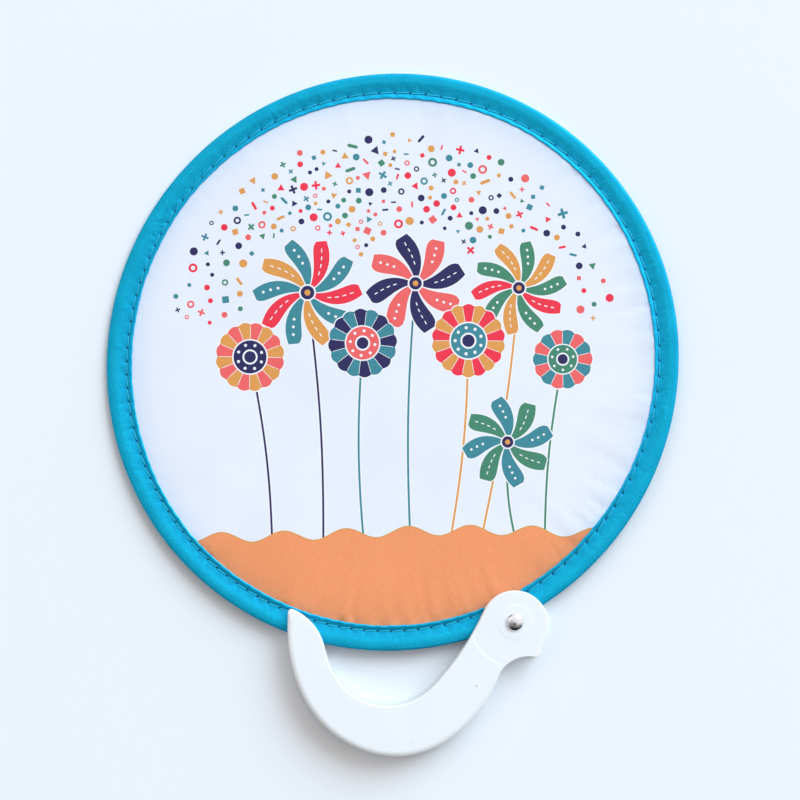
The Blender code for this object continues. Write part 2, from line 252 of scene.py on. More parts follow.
class Look(Nodes):
    """A material built from nodes round its Principled shader."""

    def __init__(self, name, colour, roughness, **uniform):
        self.made = bpy.data.materials.new(name)
        self.made.use_nodes = True
        super().__init__(self.made.node_tree)
        self.shader = self.tree.nodes["Principled BSDF"]
        self.feed("Base Color", (*colour, 1))
        self.feed("Roughness", roughness)
        for socket, value in uniform.items():
            self.feed(socket.replace("_", " "), value)

    def feed(self, socket, value):
        self.join(self.shader.inputs[socket], value)

    def place(self, uv=None):
        """Where a point is: in the piece's own space, or in this UV map."""
        if uv:
            return self.add("ShaderNodeUVMap", {}, uv_map=uv)
        return self.add("ShaderNodeTexCoord", {}, output="Object")

    def turned(self, place, degrees, stretch=(1, 1, 1)):
        inputs = {"Vector": place, "Rotation": (0, 0, radians(degrees)), "Scale": stretch}
        return self.add("ShaderNodeMapping", inputs)

    def noise(self, place, size, detail=2.0, output=0):
        """Noise whose blobs are about this long, in metres."""
        inputs = {"Vector": place, "Scale": 1 / size, "Detail": detail}
        return self.add("ShaderNodeTexNoise", inputs, output)

    def bands(self, place, pitch):
        """Bands along Y that repeat at this pitch, in metres."""
        return self.add("ShaderNodeTexWave", {"Vector": place, "Scale": pi / 10 / pitch})

    def mix(self, share, first, second, blend="MIX"):
        colours = {}
        for key, value in ((6, first), (7, second)):
            colours[key] = (*value, 1) if isinstance(value, tuple) else value
        inputs = {0: share, **colours}
        return self.add("ShaderNodeMix", inputs, output=2, data_type="RGBA", blend_type=blend)

    def shade(self, colour, share):
        """The colour times a grey share."""
        grey = self.add("ShaderNodeCombineColor", {0: share, 1: share, 2: share})
        return self.mix(1.0, colour, grey, "MULTIPLY")

    def bump(self, height, depth, under=None):
        inputs = {"Height": height, "Distance": depth}
        if under is not None:
            inputs["Normal"] = under
        return self.add("ShaderNodeBump", inputs)


def cloth_look():
    """Thin printed nylon: the print with ink grain, a plain weave, and near the binding a bluish tone,
    partly dye and partly painted shade with painted light reflected from the binding.
    """
    look = Look(
        "printed_cloth", GROUND, 0.62, Sheen_Weight=0.1, Sheen_Roughness=0.4, Specular_IOR_Level=0.3
    )
    place = look.place()
    ink = look.add("ShaderNodeVertexColor", {}, layer_name="print")
    across = look.bands(place, WEAVE_PITCH)
    weave = look.sum("ADD", across, look.bands(look.turned(place, 90), WEAVE_PITCH))
    drift = look.noise(place, 28 * MM)
    green = look.add("ShaderNodeSeparateColor", {0: ink}, output="Green")
    cover = look.ranged(green, 0.9, 0.3, 0.1, 1.0)
    grain = look.vector("SUBTRACT", look.noise(place, 0.75 * MM, output="Color"), (0.5, 0.5, 0.5))
    grain = look.vector("MULTIPLY", grain, (0.22, 0.5, 0.7))
    grain = look.add("ShaderNodeVectorMath", {0: grain, "Scale": cover}, operation="SCALE")
    colour = look.mix(1.0, ink, look.vector("ADD", grain, (1.0, 1.0, 1.0)), "MULTIPLY")
    share = look.sum("ADD", look.waver(drift, 0.985, 1.01), look.ranged(weave, 0, 2, -0.006, 0.006))
    # Near the binding the cloth turns bluish: partly dye, partly painted shade and painted cyan light
    # reflected from the binding.
    inside = look.add("ShaderNodeAttribute", {}, output="Fac", attribute_name="inside")
    near = look.sum("POWER", 0.5, look.sum("DIVIDE", inside, 3.4))
    tone_and_painted_light = look.mix(near, (1.0, 1.0, 1.0), (0.76, 0.87, 0.985))
    look.feed("Base Color", look.mix(1.0, look.shade(colour, share), tone_and_painted_light, "MULTIPLY"))
    look.feed("Roughness", look.waver(drift, 0.56, 0.68))
    look.feed("Normal", look.bump(weave, 0.01 * MM))
    return look.made


def tape_look():
    """Satin tape: slanting ribs, a painted shadow beside the seam, painted shade in the needle holes, a
    painted highlight on the hem and painted shade on the crest over the wire.
    """
    look = Look("binding_tape", srgb(6, 184, 225), 0.5, Metallic=0.8, Specular_IOR_Level=0.55)
    place = look.place("along")
    ribs = look.bands(look.turned(place, RIB_SLANT), RIB_PITCH)
    slubs = look.noise(look.turned(place, RIB_SLANT, (1, 0.45, 1)), 0.48 * MM)
    drift = look.noise(place, 12 * MM, 3)
    split = look.add("ShaderNodeSeparateXYZ", {0: place}, output="X")
    across = look.sum("ABSOLUTE", split.node.outputs["Y"])
    share = look.sum("FRACT", look.sum("DIVIDE", split, STITCH_PITCH))
    near = look.times(look.sum("PINGPONG", share, 0.5), STITCH_PITCH)

    def beside(line):
        return look.sum("ABSOLUTE", look.sum("SUBTRACT", across, line))

    reach = look.add("ShaderNodeCombineXYZ", {0: look.times(near, 0.55), 1: beside(-STITCH_LINE)})
    distance = look.add("ShaderNodeVectorMath", {0: reach}, output="Value", operation="LENGTH")
    # Painted shade in the needle holes at each stitch's ends.
    hole = look.ranged(distance, 0.28 * MM, 0.6 * MM)
    # A painted shadow line on the inner side of the stitches, where the thread's shadow falls.
    painted_seam_shadow = look.ranged(beside(SEAM_SHADOW_LINE), 0.1 * MM, 0.4 * MM, 0.7, 1)
    blue = look.mix(look.waver(drift, 0, 1), srgb(4, 176, 216), srgb(9, 187, 226))
    blue = look.mix(look.ranged(across, 1.5 * MM, 6.6 * MM), blue, srgb(4, 172, 217))
    twill = look.times(look.waver(slubs, 0.87, 1.13), look.ranged(ribs, 0, 1, 0.94, 1.05))
    crest = look.ranged(across, 0.6 * MM, 2.0 * MM)
    # Painted highlight: the hem's inner ridge is made brighter.
    hem = look.ranged(across, 8.3 * MM, 9.1 * MM, 1, 1.2)
    # Painted shade: the crest over the wire is darkened a little, dimming its highlight.
    edges = look.times(hem, look.ranged(crest, 0, 1, 0.93, 1))
    tone_and_painted_light = look.times(look.times(twill, painted_seam_shadow), edges)
    # The dark blue at the holes is painted shade over the tape's colour.
    look.feed("Base Color", look.mix(hole, srgb(4, 82, 132), look.shade(blue, tone_and_painted_light)))
    satin = look.sum("ADD", look.ranged(slubs, 0.2, 0.8, 0.44, 0.56), look.ranged(crest, 0, 1, 0.1, 0))
    look.feed("Roughness", satin)
    look.feed("Normal", look.bump(look.sum("ADD", ribs, slubs), 0.014 * MM))
    return look.made


def thread_look():
    """Twisted sewing thread."""
    look = Look("thread", THREAD, 0.5, Specular_IOR_Level=0.4)
    twist = look.bands(look.turned(look.place("along"), 35), 0.45 * MM)
    fuzz = look.noise(look.place(), 0.6 * MM, 3)
    share = look.times(look.ranged(twist, 0, 1, 0.88, 1.05), look.waver(fuzz, 0.94, 1.05))
    look.feed("Base Color", look.shade(THREAD, share))
    look.feed("Normal", look.bump(twist, 0.04 * MM))
    return look.made


def plastic_look(name, colour, roughness, marks=()):
    """Moulded white plastic: faint flow marks, a fine skin, thin scuffs, and any small marks of wear."""
    look = Look(name, colour, roughness, Subsurface_Weight=0.12, Subsurface_Scale=1.5 * MM)
    look.feed("Subsurface Radius", (1.0, 1.0, 1.2))
    place = look.place()
    flow = look.noise(look.turned(place, 25, (1, 0.35, 1)), 14 * MM, 3)
    skin = look.noise(place, 0.5 * MM, 3)
    scuff = look.noise(look.turned(place, -30, (1, 0.04, 1)), 0.35 * MM)
    shown = look.shade(colour, look.waver(flow, 0.985, 1.01))
    for spot, size, tone in marks:
        away = look.vector("DISTANCE", place, spot, "Value")
        blur = look.times(away, look.waver(skin, 0.7, 1.3))
        shown = look.mix(look.ranged(blur, 0.5 * size, size), look.shade(shown, tone), shown)
    look.feed("Base Color", shown)
    rough = look.waver(flow, roughness - 0.04, roughness + 0.05)
    look.feed("Roughness", look.sum("ADD", rough, look.ranged(scuff, 0.62, 0.8, 0, 0.12)))
    look.feed("Normal", look.bump(skin, 0.006 * MM, look.bump(flow, 0.12 * MM)))
    return look.made


def steel_look(name, colour, roughness, scratch):
    """Turned or drawn steel with fine scratches."""
    look = Look(name, colour, roughness, Metallic=1.0)
    place = look.place()
    lines = look.noise(look.turned(place, 20, (1, 0.06, 1)), scratch, 3)
    cloud = look.noise(place, 1.6 * MM)
    look.feed("Base Color", look.shade(colour, look.waver(cloud, 0.94, 1.0)))
    look.feed("Roughness", look.waver(lines, 0.7 * roughness, 1.4 * roughness))
    look.feed("Normal", look.bump(look.sum("ADD", lines, cloud), 0.008 * MM))
    return look.made


def floor_look():
    pale = srgb(242, 249, 254)
    look = Look("pale_floor", pale, 0.85, Specular_IOR_Level=0.1)
    cloud = look.noise(look.place(), 0.35)
    look.feed("Base Color", look.shade(pale, look.waver(cloud, 0.99, 1.0)))
    return look.made


# Meshes


def new_object(name, data):
    made = bpy.data.objects.new(name, data)
    bpy.context.collection.objects.link(made)
    return made


def dress(mesh, look):
    mesh.materials.clear()
    mesh.materials.append(look)


def piece(name, mesh, place, body, look):
    """An object of this mesh that rides on a body."""
    made = new_object(name, mesh)
    made.matrix_world = place
    dress(mesh, look)
    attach(made, body)
    return made


def faced(points, faces):
    mesh = bpy.data.meshes.new("shape")
    mesh.from_pydata([tuple(point) for point in points], [], faces)
    mesh.shade_smooth()
    return mesh


def smoothed(mesh, degrees):
    """The mesh shaded smooth, but for edges sharper than this."""
    mesh.shade_smooth()
    mesh.set_sharp_from_angle(angle=radians(degrees))
    return mesh


def tube_faces(first, breadth, rings):
    """The faces of a capped tube through rings of points that start at this number."""
    last = first + (rings - 1) * breadth
    faces = [[first + i for i in reversed(range(breadth))]]
    for low in range(first, last, breadth):
        for i in range(breadth):
            j = (i + 1) % breadth
            faces.append([low + i, low + j, low + breadth + j, low + breadth + i])
    faces.append([last + i for i in range(breadth)])
    return faces


def loft(rings, closed=False):
    """A solid through rings of points, capped at both ends unless it closes on itself."""
    shape = bmesh.new()
    rows = [[shape.verts.new(point) for point in ring] for ring in rings]
    pairs = list(zip(rows, rows[1:]))
    if closed:
        pairs.append((rows[-1], rows[0]))
    else:
        shape.faces.new(rows[0])
        shape.faces.new(rows[-1])
    for low, high in pairs:
        for i in range(len(low)):
            j = (i + 1) % len(low)
            shape.faces.new((low[i], low[j], high[j], high[i]))
    bmesh.ops.recalc_face_normals(shape, faces=shape.faces)
    return shape


def circle(radius, height, steps=ROUND_STEPS, centre=(0.0, 0.0)):
    turns = [tau * i / steps for i in range(steps)]
    return [Vector((*polar(centre, radius, turn), height)) for turn in turns]


def cylinder(radius, low, high, steps=ROUND_STEPS, centre=(0.0, 0.0)):
    return loft([circle(radius, low, steps, centre), circle(radius, high, steps, centre)])


def turned(profile, closed=False, steps=ROUND_STEPS):
    """A solid turned round Z from (radius, height) points."""
    return loft([circle(radius, height, steps) for radius, height in profile], closed)


def prism(points, low, high):
    return loft([[Vector((x, y, low)) for x, y in points], [Vector((x, y, high)) for x, y in points]])


def mesh_of(shape):
    mesh = bpy.data.meshes.new("shape")
    shape.to_mesh(mesh)
    shape.free()
    return mesh


def combined(shape, steps):
    """The mesh of this shape after cutting or joining others, each an (operation, shape) pair."""
    solid = new_object("solid", mesh_of(shape))
    tools = []
    for operation, other in steps:
        tools.append(new_object("tool", mesh_of(other)))
        step = solid.modifiers.new("step", "BOOLEAN")
        step.operation = operation
        step.solver = "EXACT"
        step.object = tools[-1]
    bpy.context.view_layer.update()
    graph = bpy.context.evaluated_depsgraph_get()
    mesh = bpy.data.meshes.new_from_object(solid.evaluated_get(graph))
    for thing in [solid, *tools]:
        bpy.data.objects.remove(thing)
    return mesh


# The print: polygons in the fan's plane, in metres, each drawn over those before it


def polar(centre, radius, angle):
    return (centre[0] + radius * cos(angle), centre[1] + radius * sin(angle))


def even(centre, radius, sides, turn=0.0):
    """A regular polygon."""
    return [polar(centre, radius, turn + tau * i / sides) for i in range(sides)]


def discs(centre, radius, sides, rows):
    """Discs drawn over each other, each a share of the radius and a colour."""
    return [(even(centre, share * radius, sides), colour) for share, colour in rows]


def bar(centre, length, width, turn):
    """A strip with rounded ends."""
    points = []
    for end in (1, -1):
        middle = polar(centre, end * (length - width) / 2, turn)
        for i in range(5):
            swing = turn + (0 if end > 0 else pi) + pi * (i / 4 - 0.5)
            points.append(polar(middle, width / 2, swing))
    return points


def plus(centre, size, width, turn):
    points = []
    for i in range(4):
        way = turn + i * pi / 2
        ahead = polar(centre, size, way)
        points.append(polar(ahead, width / 2, way - pi / 2))
        points.append(polar(ahead, width / 2, way + pi / 2))
        points.append(polar(polar(centre, width / 2, way), width / 2, way + pi / 2))
    return points


def ribbon(line, width):
    """A strip of this width along a line of points."""
    left, right = [], []
    for i, point in enumerate(line):
        before = Vector(line[max(i - 1, 0)])
        after = Vector(line[min(i + 1, len(line) - 1)])
        way = (after - before).normalized()
        side = Vector((-way.y, way.x)) * width / 2
        left.append(tuple(Vector(point) + side))
        right.append(tuple(Vector(point) - side))
    return right + left[::-1]


def grown(points, by):
    """A polygon moved outwards along its corners."""
    moved = []
    for i, point in enumerate(points):
        way = (Vector(points[(i + 1) % len(points)]) - Vector(points[i - 1])).normalized()
        moved.append(tuple(Vector(point) + Vector((way.y, -way.x)) * by))
    return moved


def blade(centre, radius, start, width, sweep, steps=14):
    """One curved blade of a pinwheel, and the line down its middle."""
    shares = [i / steps for i in range(steps + 1)]

    def at(share, side):
        angle = start + sweep * share**1.4 + side * width * math.sqrt(1 - share**3)
        return polar(centre, radius * (0.08 + 0.92 * share), angle)

    edge = [at(share, 0) for share in shares] + [at(share, 1) for share in shares[-2::-1]]
    return edge, [at(share, 0.5) for share in shares]


def pinwheel(centre, radius, blades, colours, turn, sweep):
    """A head of blades round a button."""
    layers = []
    step = tau / blades
    for i in range(blades):
        edge, middle = blade(centre, radius, turn + i * step, step * 0.86, sweep)
        layers.append((grown(edge, 0.45 * MM), BRIGHT))
        layers.append((edge, colours[i % len(colours)]))
        for k in (5, 7, 9, 11):
            way = math.atan2(middle[k + 1][1] - middle[k][1], middle[k + 1][0] - middle[k][0])
            if i % 2:
                layers.append((bar(middle[k], 0.075 * radius, 0.45 * MM, way), BRIGHT))
            elif k > 5:
                layers.append((even(middle[k], 0.02 * radius + 0.15 * MM, 10), BRIGHT))
    return layers + discs(centre, radius, 24, ((0.155, BRIGHT), (0.125, NAVY), (0.055, AMBER)))


def rosette(centre, radius, wedges, colours, turn):
    """A pleated paper rosette: wedges with a scalloped edge, and a band of dots round its middle."""

    def rim(low, high, by=0.0):
        steps = 6
        points = []
        for i in range(steps + 1):
            share = i / steps
            reach = radius * (0.94 + 0.06 * sin(pi * share)) + by
            points.append(polar(centre, reach, low + (high - low) * share))
        return points

    step = tau / wedges
    edges = [turn + i * step for i in range(wedges + 1)]
    outline = [point for low, high in zip(edges, edges[1:]) for point in rim(low, high, 0.5 * MM)[:-1]]
    layers = [(outline, BRIGHT)]
    for i, (low, high) in enumerate(zip(edges, edges[1:])):
        layers.append(([centre] + rim(low, high), colours[i % 2]))
    for low in edges[:-1]:
        crease = [polar(centre, 0.3 * radius, low), polar(centre, 0.9 * radius, low)]
        layers.append((ribbon(crease, 0.22 * MM), BRIGHT))
    layers += discs(centre, radius, 32, ((0.52, BRIGHT), (0.48, colours[2])))
    for i in range(wedges // 2):
        spot = polar(centre, 0.36 * radius, turn + 2 * i * step)
        layers.append((even(spot, 0.045 * radius, 10), BRIGHT))
    return layers + discs(centre, radius, 24, ((0.22, BRIGHT), (0.17, NAVY)))


def foot_line(x):
    """The scalloped upper edge of the print's orange foot."""
    swell = 1.6 * MM * sin(x / (38 * MM) + 0.6)
    return -75 * MM + swell + 2.2 * MM * sin(tau * x / (27 * MM))


def foot():
    across = [(-128 + 0.9 * i) * MM for i in range(285)]
    low = -140 * MM
    top = [(x, foot_line(x)) for x in across]
    area = [(across[0], low), (across[-1], low)] + top[::-1]
    return [(area, ORANGE), (ribbon(top, 0.6 * MM), AMBER)]


HEADS = (
    # centre and radius in mm, parts, colours, foot of its stem in mm
    ((-37, 30), 24, 10, (TEAL, RED, TEAL, AMBER), -30),
    ((10, 34), 22, 8, (CORAL, NAVY), 8),
    ((55, 32), 21, 10, (GREEN, AMBER, GREEN, RED), 37),
    ((50, -35), 20, 8, (TEAL, GREEN), 55),
    ((-62, 2), 15, 16, (CORAL, AMBER, NAVY), -52),
    ((-13, 8), 15, 16, (NAVY, TEAL, CORAL), -12),
    ((33, 9), 16, 18, (AMBER, RED, TEAL), 24),
    ((74, 1), 13, 14, (TEAL, CORAL, GREEN), 66),
)
WHEELS = 4
CONFETTI_TRIES = 5200
STEM_FOOT = -84


def motifs():
    """Pinwheels and rosettes on thin stems, which stand in the foot."""
    layers = []
    for i, ((x, y), _, _, _, base) in enumerate(HEADS):
        line = []
        for k in range(21):
            share = k / 20
            bow = 2.2 * MM * sin(pi * share) * (-1) ** i
            height = y * MM + share * (STEM_FOOT - y) * MM
            line.append(((x + share * (base - x)) * MM + bow, height))
        layers.append((ribbon(line, 1.9 * MM), BRIGHT))
        layers.append((ribbon(line, 0.9 * MM), (NAVY, TEAL, AMBER, GREEN)[i % 4]))
    layers += foot()
    for i, ((x, y), radius, parts, colours, _) in enumerate(HEADS):
        centre = (x * MM, y * MM)
        if i < WHEELS:
            layers += pinwheel(centre, radius * MM, parts, colours, 0.37 * i, radians(34))
        else:
            layers += rosette(centre, radius * MM, parts, colours, 0.29 * i)
    return layers


def confetti():
    """Small plain shapes in an arch over the other motifs, thinner towards its ends and edges."""
    dice = random.Random(11)
    colours = (TEAL, GREEN, CORAL, RED, NAVY, AMBER)
    placed = [(x * MM, y * MM, (radius + 1.4) * MM) for (x, y), radius, *_ in HEADS]
    layers = []
    for _ in range(CONFETTI_TRIES):
        angle = radians(dice.uniform(12, 168))
        reach = dice.uniform(48, 100) * MM
        centre = polar((0, 0), reach, angle)
        size = dice.choice((0.9, 1.1, 1.3, 1.5, 1.8)) * MM
        edge = min(1, (100 * MM - reach) / (14 * MM) + 0.25) * min(1, sin(angle) + 0.12)
        gap = (1.3 + 2.6 * (1 - edge)) * MM
        if any(math.dist(centre, (x, y)) < size + room + gap for x, y, room in placed):
            continue
        placed.append((*centre, size))
        colour = dice.choice(colours)
        turn = dice.uniform(0, tau)
        kind = dice.choice(("dot", "dot", "dot", "triangle", "diamond", "ring", "bar", "plus"))
        if kind == "dot":
            layers.append((even(centre, size, 16), colour))
        elif kind == "triangle":
            layers.append((even(centre, 1.25 * size, 3, turn), colour))
        elif kind == "diamond":
            layers.append((even(centre, 1.15 * size, 4, turn), colour))
        elif kind == "ring":
            layers.append((even(centre, 1.1 * size, 20), colour))
            layers.append((even(centre, 0.55 * size, 14), GROUND))
        elif kind == "bar":
            layers.append((bar(centre, 2.6 * size, 0.8 * size, turn), colour))
        else:
            layers.append((plus(centre, 1.25 * size, 0.7 * size, turn), colour))
    return layers


# Cloth


def off_hub(point, gap):
    return (point - PIVOT.xy).length > gap


def cloth_outline():
    """The cloth's edge: the rim, then the hub's notch."""
    gap = HUB_RADIUS + FIT
    edge = -WIRE_RADIUS - 2 * FIT
    rim = [on_hoop(HUB_DIRECTION + tau * i / RIM_SPOTS, edge).xy for i in range(RIM_SPOTS)]
    rim = [point for point in rim if off_hub(point, gap)]
    first = math.atan2(*(rim[-1] - PIVOT.xy).yx)
    last = math.atan2(*(rim[0] - PIVOT.xy).yx)
    inside = math.atan2(*(-PIVOT.xy).yx)
    while first < inside:
        first += tau
    while last > inside:
        last -= tau
    notch = []
    for i in range(NOTCH_STEPS + 1):
        notch.append(polar(PIVOT, gap, first + (last - first) * i / NOTCH_STEPS))
    return [tuple(point) for point in rim] + notch


# How much of the print shows on the back of the cloth
PRINT_THROUGH = 0.35
# The most that wrinkles raise or lower the cloth
PUCKER_LIMIT = 0.5 * MM


def pucker_table():
    """Wrinkles that run in from the stitching: angle, width, length and height."""
    dice = random.Random(5)
    groups = (
        # how many, angles, widths, lengths, heights
        (90, (0, 360), (1.0, 1.9), (4, 10), (-0.14, 0.14)),
        (58, (-56, 50), (1.3, 2.4), (8, 26), (-0.3, 0.3)),
        (16, (-56, 46), (2.4, 4.0), (20, 48), (-0.26, 0.26)),
        (56, (222, 300), (1.2, 2.3), (8, 34), (-0.42, 0.42)),
        (18, (42, 140), (2.2, 4.0), (12, 34), (-0.3, 0.3)),
        (8, (140, 222), (2.5, 4.0), (12, 30), (-0.16, 0.16)),
    )
    rows = []
    for count, way, width, length, height in groups:
        for _ in range(count):
            angle = radians(dice.uniform(*way))
            rows.append((angle, dice.uniform(*width), dice.uniform(*length), dice.uniform(*height)))
    return np.array(rows)


def strays(angle):
    """How far outwards the binding's hem and seam stray from their even lines here, in mm."""
    turn = (np.degrees(angle) + 70) % 360 - 70
    return np.interp(turn, *zip(*HEM_STRAYS)), np.interp(turn, *zip(*SEAM_STRAYS))


def inside_hem(x, y):
    """How far inside the binding's inner edge these points are, in mm."""
    angle = np.arctan2(y, x)
    rim = HOOP_RADIUS + OUT_OF_ROUND * np.cos(2 * (angle - LONG_WAY)) + TAPE_INSET
    return (rim - np.hypot(x, y)) / MM + strays(angle)[0]


def cloth_height(points, table):
    """How far the cloth's middle stands out of the fan's plane at these points."""
    x, y = points[:, 0], points[:, 1]
    reach = np.hypot(x, y)
    angle = np.arctan2(y, x)
    inside = inside_hem(x, y)
    rise = np.zeros(len(points))
    for way, width, length, tall in table:
        turn = (angle - way + pi) % tau - pi
        aside = reach * np.sin(np.clip(turn, -0.6, 0.6)) / MM
        along = np.clip(1 - inside / length, 0, 1) ** 1.4 * np.clip(inside / 1.2, 0, 1)
        rise += tall * np.exp(-((aside / width) ** 2)) * along
    height = PUCKER_LIMIT * np.tanh(rise * MM / PUCKER_LIMIT)
    slack = np.clip(inside / 30, 0, 1)
    height += slack * 0.22 * MM * (np.sin(x / 0.021 + 1) * np.sin(y / 0.027 + 2) + np.sin((x + y) / 0.034))
    return height - droop(x, y)


def free_spots():
    """Points of the cloth besides the print's outlines: an even grid and a ring at the hem."""
    spots = []
    count = int(HOOP_RADIUS / CLOTH_GRID) + 1
    for i in range(-count, count + 1):
        for j in range(-count, count + 1):
            spot = Vector(((i + 0.5 * (j % 2)) * CLOTH_GRID, 0.866 * j * CLOTH_GRID))
            if spot.length < HOOP_RADIUS - 3.5 * MM:
                spots.append(spot)
    for i in range(HEM_SPOTS):
        angle = tau * i / HEM_SPOTS
        spots.append(on_hoop(angle, TAPE_INSET + float(strays(angle)[0]) * MM).xy)
    return [spot for spot in spots if off_hub(spot, HUB_RADIUS + 2 * MM)]


def cloth_mesh():
    """A thin closed sheet whose faces follow the print's outlines."""
    outline = cloth_outline()
    layers = [(outline, GROUND)] + confetti() + motifs()
    points, loops = [], []
    for polygon, _ in layers:
        loops.append(list(range(len(points), len(points) + len(polygon))))
        points += [Vector(point[:2]) for point in polygon]
    points += free_spots()
    flat, _, faces, _, _, sources = delaunay_2d_cdt(points, [], loops, 1, 1e-7, True)
    kept = [(face, max(source)) for face, source in zip(faces, sources) if 0 in source]

    used = sorted({i for face, _ in kept for i in face})
    number = {old: new for new, old in enumerate(used)}
    spots = np.array([tuple(flat[i]) for i in used])
    table = pucker_table()
    middle = cloth_height(spots, table)
    total = len(spots)
    front, back = (np.column_stack([spots, middle + side * CLOTH_THICKNESS / 2]) for side in (1, -1))
    shown = [[number[i] for i in face] for face, _ in kept]
    hidden = [[i + total for i in reversed(face)] for face in shown]
    uses = {}
    for face in shown:
        for a, b in zip(face, face[1:] + face[:1]):
            uses.setdefault(frozenset((a, b)), []).append((a, b))
    rim = [[b, a, a + total, b + total] for (a, b), *others in uses.values() if not others]
    mesh = faced(np.concatenate([front, back]).tolist(), shown + hidden + rim)

    paint = mesh.attributes.new("print", "FLOAT_COLOR", "CORNER")
    colours = []
    for cover in (1, PRINT_THROUGH):
        for face, layer in kept:
            pair = zip(layers[layer][1], GROUND)
            tone = [cover * ink + (1 - cover) * ground for ink, ground in pair]
            colours += [(*tone, 1.0)] * len(face)
    colours += [(*GROUND, 1.0)] * (4 * len(rim))
    paint.data.foreach_set("color", [value for colour in colours for value in colour])

    depth = mesh.attributes.new("inside", "FLOAT", "POINT")
    depth.data.foreach_set("value", np.tile(np.clip(inside_hem(spots[:, 0], spots[:, 1]), 0, 60), 2))

    step = 0.05 * MM
    slope = [(cloth_height(spots + shift, table) - middle) / step for shift in ((step, 0), (0, step))]
    normals = np.column_stack([-slope[0], -slope[1], np.ones(total)])
    normals /= np.linalg.norm(normals, axis=1)[:, None]
    mesh.normals_split_custom_set_from_vertices(np.concatenate([normals, -normals]).tolist())
    return mesh


# Binding and stitches

HEM = (
    (-9.26, 0.14), (-9.38, 0.24), (-9.42, 0.37), (-9.37, 0.50), (-9.24, 0.59), (-9.02, 0.64),
    (-8.75, 0.65), (-8.45, 0.62), (-8.12, 0.56), (-7.82, 0.49), (-7.55, 0.44), (-7.25, 0.41),
    (-6.95, 0.41), (-6.70, 0.43), (-6.45, 0.46), (-6.15, 0.51), (-5.70, 0.59), (-5.00, 0.71),
    (-4.20, 0.86), (-3.40, 1.01), (-2.60, 1.15), (-1.80, 1.21), (-1.00, 1.24),
)
INNER_SKIN = ((-2.9, 0.28), (-1.2, 0.55))
# The tape's face comes no nearer than this to the fan's middle plane, in mm
THINNEST = 0.22
# Below 1, the tape is squarer than round over the wire
CREST_POWER = 0.8

# How far the hem and the seam stray outwards, in mm, by the angle round the disc
HEM_STRAYS = (
    (-70, 0.0), (-40, 0.1), (-20, 0.6), (0, 0.45), (20, 0.25), (40, 0.35), (60, 0.1), (80, -0.45),
    (100, 0.1), (120, 0.5), (140, 0.6), (160, 0.25), (180, -0.25), (200, -0.2), (220, 0.1),
    (240, -0.4), (290, 0.0),
)
SEAM_STRAYS = (
    (-70, -0.25), (-15, -0.25), (10, 0.05), (30, 0.0), (50, -0.15), (70, -0.35), (90, 0.0),
    (110, 0.3), (130, 0.15), (150, -0.25), (170, -0.45), (190, -0.25), (240, -0.15), (290, -0.25),
)

# Stitch length at the seam, in mm, by the angle that it is reached at
PITCHES = (
    (-70, 6.75), (135, 6.75), (145, 5.87), (195, 5.87), (215, 5.35), (255, 5.35), (268, 5.85), (300, 5.85),
)


def stitch_ends():
    """The angles of the needle holes, once round from the hub."""
    reach = HUB_RADIUS / HOOP_RADIUS
    last = HUB_DIRECTION + tau - reach
    holes = [HUB_DIRECTION + reach]
    seam = (HOOP_RADIUS + STITCH_LINE) / MM
    while holes[-1] < last:
        pitch = np.interp(math.degrees(holes[-1]), *zip(*PITCHES))
        holes.append(holes[-1] + float(pitch) / seam)
    stretch = (last - holes[0]) / (holes[-1] - holes[0])
    return [holes[0] + stretch * (hole - holes[0]) for hole in holes]


def hub_side(outset):
    """How far in angle from the pivot the binding starts at this outset, on the circle round the hub."""
    reach = hoop_radius(HUB_DIRECTION) + outset * MM
    pivot = PIVOT.length
    share = (pivot**2 + reach**2 - (HUB_RADIUS + FIT) ** 2) / (2 * pivot * reach)
    return math.acos(min(1, share))


def tape_section():
    """The tape's outside from the front hem to the rear one, then its inside, as (outset, height) in mm."""
    crest = [radians(turn) for turn in (84, 72, 58, 44, 30, 16, 0)]
    over = [(1.4 * cos(turn) ** CREST_POWER, 1.25 * sin(turn) ** CREST_POWER) for turn in crest]
    front = [*HEM, *over]
    outside = front + [(outset, -height) for outset, height in front[-2::-1]]
    under = [(1.1 * cos(turn), 1.1 * sin(turn)) for turn in crest[1::2]] + [(1.1, 0.0)]
    inner = [(-9.1, 0.14), *INNER_SKIN, *under]
    inside = inner + [(outset, -height) for outset, height in inner[-2::-1]]
    return outside, inside[::-1]


def strayed(outset, hem, seam):
    """Where a point of the tape's section lies once its hem and seam have moved this far, in mm."""
    line = STITCH_LINE / MM
    if outset < line:
        share = (line - outset) / (line - TAPE_INSET / MM)
        return outset + seam * (1 - share) + hem * share
    return outset + seam * max(0.0, 1 - (outset - line) / 3)


def crease_table():
    """Small creases in the tape: place along it, place across it, length, width, slant and height."""
    dice = random.Random(3)
    ranges = ((-6.4, -2.6), (0.9, 2.8), (0.3, 0.8), (-0.9, 0.9), (-0.09, 0.09))
    rows = []
    for _ in range(420):
        along = dice.uniform(0, tau) * HOOP_RADIUS / MM
        rows.append((along, *[dice.uniform(*ends) for ends in ranges]))
    return rows


def bell(away, width):
    return math.exp(-((away / width) ** 2))


def wander(x, y, z=0.0):
    return noise.noise(Vector((x, y, z)))


def clamped(value):
    return max(0.0, min(1.0, value))


